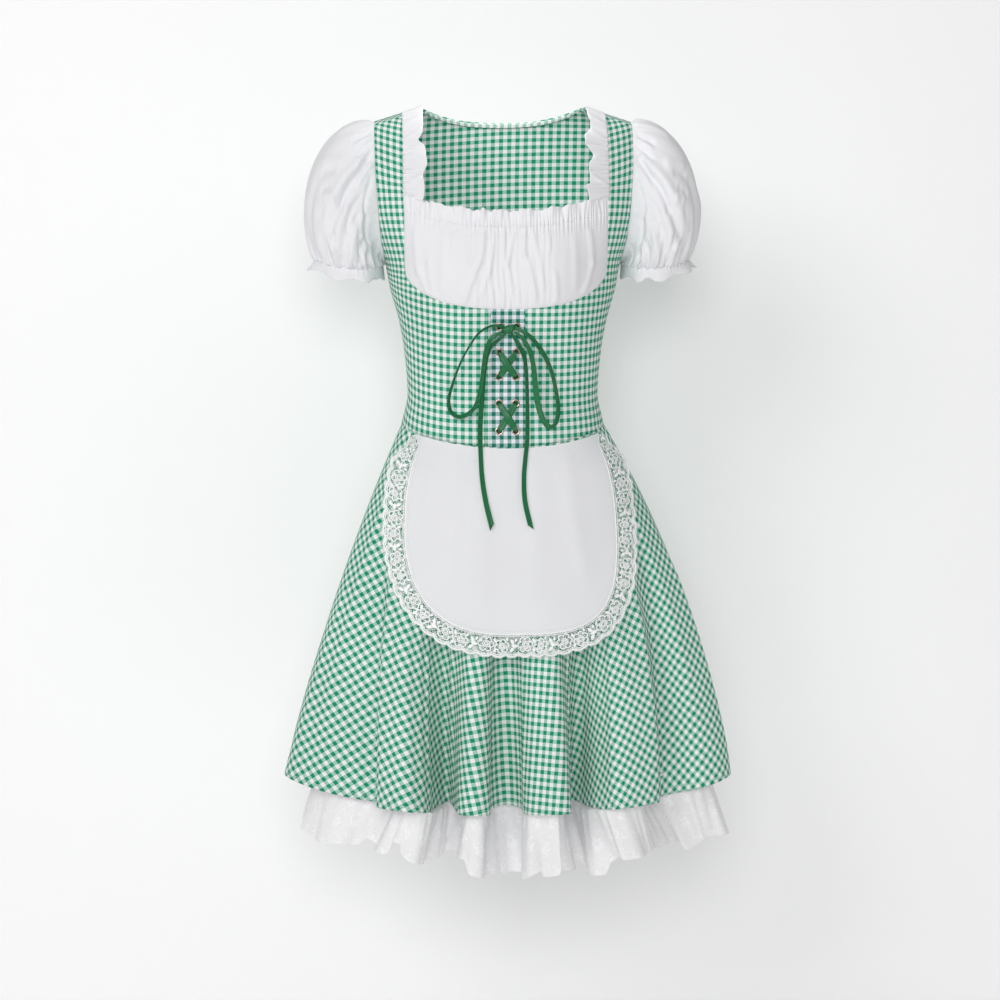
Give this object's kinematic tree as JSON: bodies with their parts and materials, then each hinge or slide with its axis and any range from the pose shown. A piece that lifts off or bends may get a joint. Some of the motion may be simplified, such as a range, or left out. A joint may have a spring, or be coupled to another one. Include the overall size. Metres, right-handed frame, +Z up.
{
  "type": "dirndl dress",
  "caption": "Short-sleeved gingham dirndl dress filled out as worn, with gathered bust panel, laced front, flared skirt, lace-edged apron and lace flounce under the hem.",
  "frame": {"origin": "midway between the two points where the shoulder seams meet the neck, where the wearer's shoulders hold the dress", "axes": "+Z up, the garment's front faces -Y, +X towards a viewer's right"},
  "size_m": [0.5601, 0.3604, 0.9355],
  "materials": {
    "gingham": "matt woven check in green and white",
    "cotton": "matt to faintly sheeny white weave",
    "lace": "matt white tulle and scalloped lace",
    "satin": "dark green satin ribbon",
    "eyelet": "polished rose-toned metal"
  },
  "bodies": {
    "root": {"bodice_back": "gingham", "neck_binding_back": "gingham", "bodice_front_left": "gingham", "bodice_front_right": "gingham", "centre_panel": "gingham", "bib": "cotton", "bib_frill": "cotton", "strap_ruffle_left": "cotton", "strap_ruffle_right": "cotton", "sleeve_left": "cotton", "sleeve_right": "cotton", "cuff_frill_left": "cotton", "cuff_frill_right": "cotton", "skirt_front": "gingham", "skirt_back": "gingham", "flounce_front": "lace", "flounce_back": "lace", "apron": "cotton", "apron_lace": "lace", "lacing": "satin", "bow_knot": "satin", "bow_loop_left": "satin", "bow_loop_right": "satin", "ribbon_tail_left": "satin", "ribbon_tail_right": "satin", "eyelet_1_left": "eyelet", "eyelet_1_right": "eyelet", "eyelet_2_left": "eyelet", "eyelet_2_right": "eyelet", "eyelet_3_left": "eyelet", "eyelet_3_right": "eyelet", "eyelet_4_left": "eyelet", "eyelet_4_right": "eyelet", "eyelet_5_left": "eyelet", "eyelet_5_right": "eyelet"}
  },
  "joints": []
}
